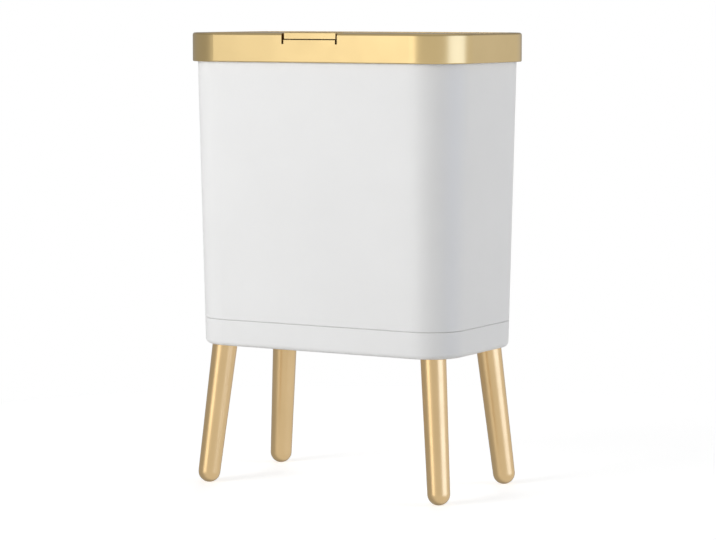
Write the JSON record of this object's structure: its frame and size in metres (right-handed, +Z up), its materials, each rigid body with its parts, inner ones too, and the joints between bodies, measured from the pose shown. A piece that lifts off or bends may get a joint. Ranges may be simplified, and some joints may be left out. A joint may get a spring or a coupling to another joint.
{
  "type": "slim trash can",
  "caption": "Slim kitchen bin: tapered bucket on splayed round legs, with a deep lift-off rim, a hinged lid and a press button in the rim's front.",
  "frame": {"origin": "on the floor, under the middle of the bin's outline", "axes": "+Z up, +X to the right as the user faces the button, the button and the front face -Y"},
  "size_m": [0.33, 0.194, 0.4819],
  "materials": {
    "bin_plastic": "white moulded plastic, fine satin grain",
    "rim_lacquer": "moulded plastic with a satin gold metallic lacquer",
    "leg_lacquer": "satin gold metallic lacquer",
    "steel": "zinc plated steel",
    "spring_steel": "drawn spring wire",
    "insert_brass": "turned brass"
  },
  "bodies": {
    "bin": {"bin_body": "bin_plastic", "base_cover": "bin_plastic", "base_screws": "steel", "leg_front_left": "leg_lacquer", "leg_front_right": "leg_lacquer", "leg_rear_left": "leg_lacquer", "leg_rear_right": "leg_lacquer", "leg_stud_front_left": "steel", "leg_stud_front_right": "steel", "leg_stud_rear_left": "steel", "leg_stud_rear_right": "steel", "leg_insert_front_left": "insert_brass", "leg_insert_front_right": "insert_brass", "leg_insert_rear_left": "insert_brass", "leg_insert_rear_right": "insert_brass"},
    "rim": {"rim_frame": "rim_lacquer", "hinge_pin_left": "steel", "hinge_pin_right": "steel", "lid_spring_left": "spring_steel", "lid_spring_right": "spring_steel", "button_pin": "steel", "button_spring": "spring_steel"},
    "lid": {"lid": "rim_lacquer"},
    "button": {"push_button": "rim_lacquer"}
  },
  "joints": [
    {"name": "rim_lift", "type": "slide", "parent": "bin", "child": "rim", "axis": [0, 0, 1], "range_m": [0, 0.1]},
    {"name": "lid_hinge", "type": "hinge", "parent": "rim", "child": "lid", "pos_m": [0, 0.0625, 0.4768], "axis": [-1, 0, 0], "range_deg": [0, 85]},
    {"name": "button_press", "type": "hinge", "parent": "rim", "child": "button", "pos_m": [0, -0.0836, 0.473], "axis": [1, 0, 0], "range_deg": [0, 4], "stiffness_Nm_per_rad": 0.6, "springref_deg": -2.86, "deforming": ["button_spring"]}
  ]
}
